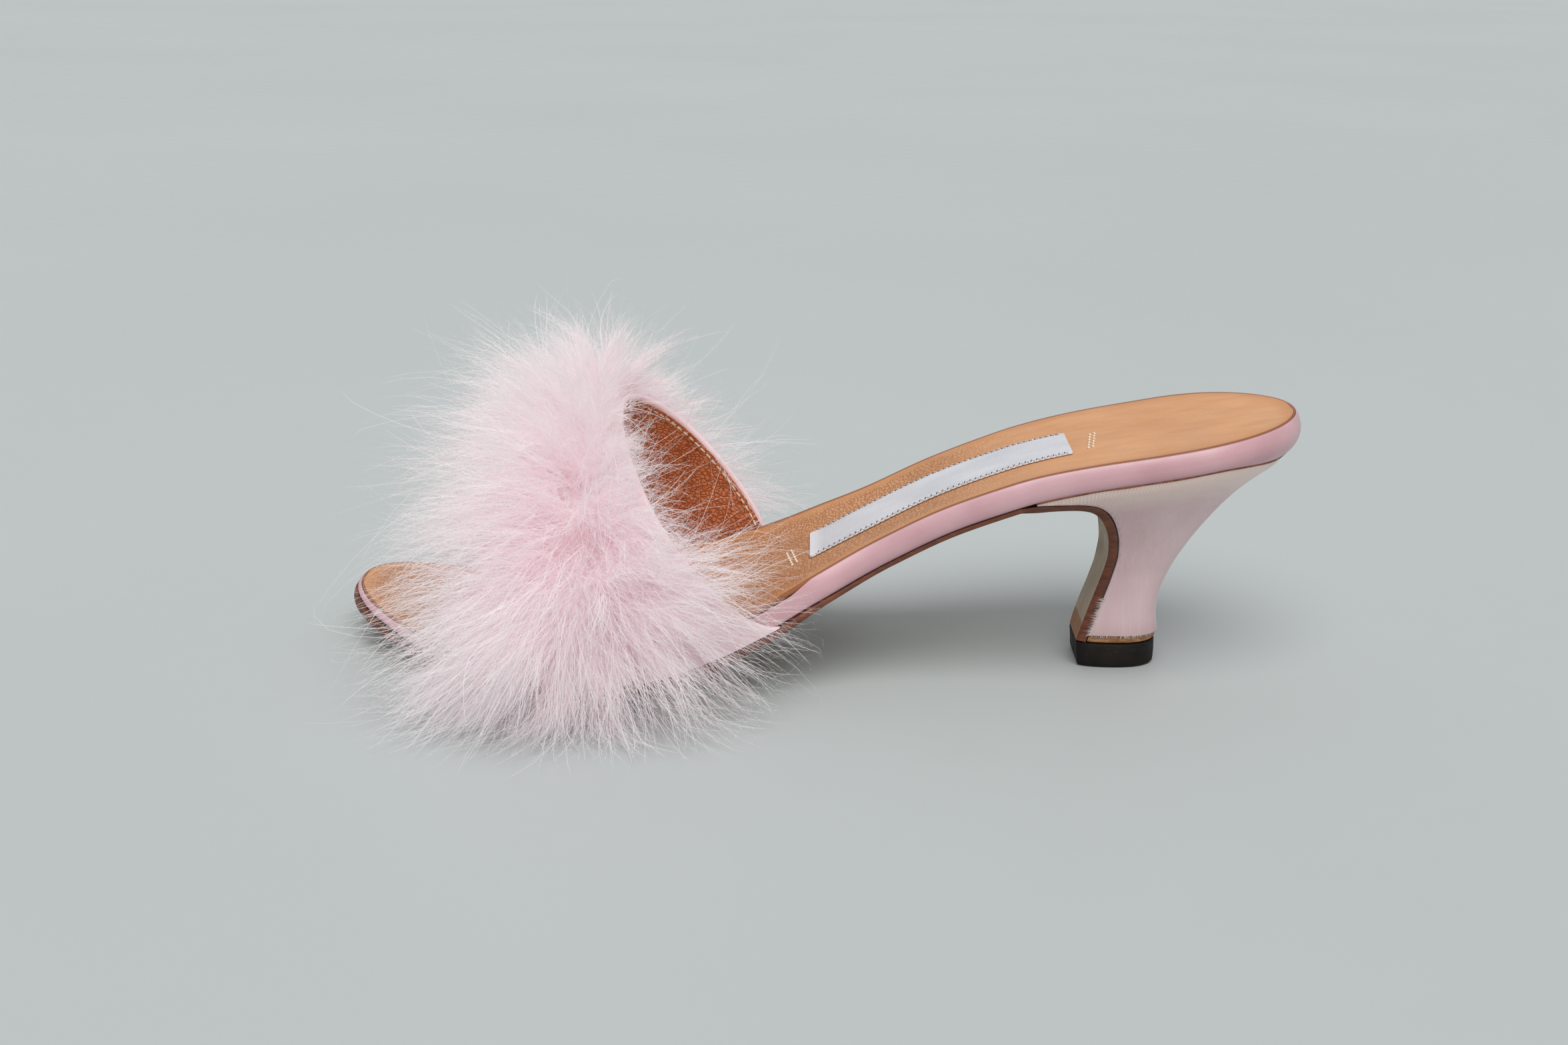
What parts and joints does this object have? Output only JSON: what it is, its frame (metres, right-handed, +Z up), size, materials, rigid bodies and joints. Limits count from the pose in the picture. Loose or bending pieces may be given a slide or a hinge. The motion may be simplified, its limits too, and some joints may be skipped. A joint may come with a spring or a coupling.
{
  "type": "marabou slipper",
  "caption": "Left feather-trimmed open-toed mule with a satin-covered curved heel, a leather sole and a leather-lined band over the foot.",
  "frame": {"origin": "centre of the heel's top piece on the floor, halfway along it at z = 0", "axes": "+X from the heel to the toe, +Y to the wearer's left, which is the outside of this left foot, +Z up"},
  "size_m": [0.2364, 0.1657, 0.0841],
  "materials": {
    "sole_leather": "brown cut edge with a painted grey-beige underside",
    "rim_leather": "smooth pink kid, slightly shiny",
    "sock_leather": "grained natural tan with a darker burnished edge",
    "woven_ribbon": "silver-white woven satin ribbon, left plain",
    "heel_satin": "pale pink satin with a fine upright weave, faded to cream at the seat",
    "lift_leather": "raw tan stacked leather",
    "top_piece_rubber": "worn black-brown rubber",
    "upper_leather": "smooth pink kid outside, reddish tan leather lining inside",
    "feathers": "soft pale pink marabou down, pinker at the core and nearly white at the tips"
  },
  "bodies": {
    "root": {"outsole": "sole_leather", "insole": "rim_leather", "sock": "sock_leather", "label": "woven_ribbon", "heel": "heel_satin", "leather_lift": "lift_leather", "top_piece": "top_piece_rubber", "upper": "upper_leather", "marabou": "feathers"}
  },
  "joints": []
}
